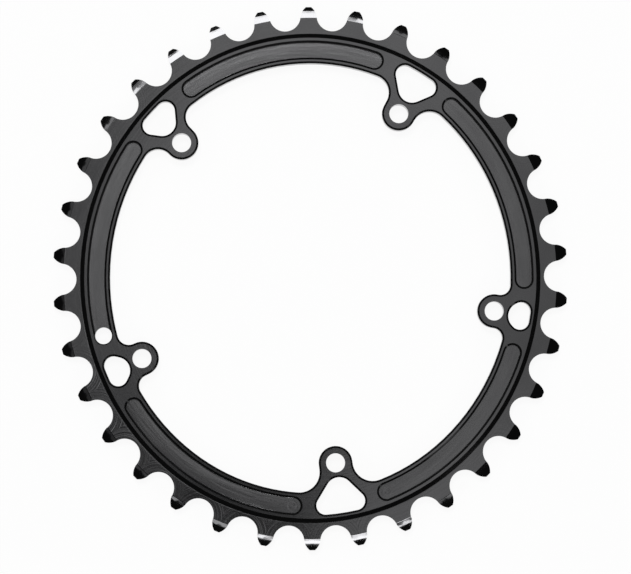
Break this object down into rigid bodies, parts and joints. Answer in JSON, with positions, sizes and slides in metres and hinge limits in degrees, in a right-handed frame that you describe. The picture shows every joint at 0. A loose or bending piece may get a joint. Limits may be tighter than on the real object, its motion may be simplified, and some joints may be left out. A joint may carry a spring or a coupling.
{
  "type": "bicycle chainring",
  "caption": "Oval bicycle chainring milled from aluminium plate, with bevelled teeth for a half-inch chain and bolt tabs with windows for a crank spider.",
  "frame": {"origin": "centre of the bolt circle, on the flat back face", "axes": "+Z out of the pocketed outer face, +Y along the long axis of the oval, through a tooth"},
  "size_m": [0.1376, 0.1458, 0.004],
  "materials": {
    "black_anodised": "satin black anodised, with fine milling marks"
  },
  "bodies": {
    "root": {"chainring": "black_anodised"}
  },
  "joints": []
}
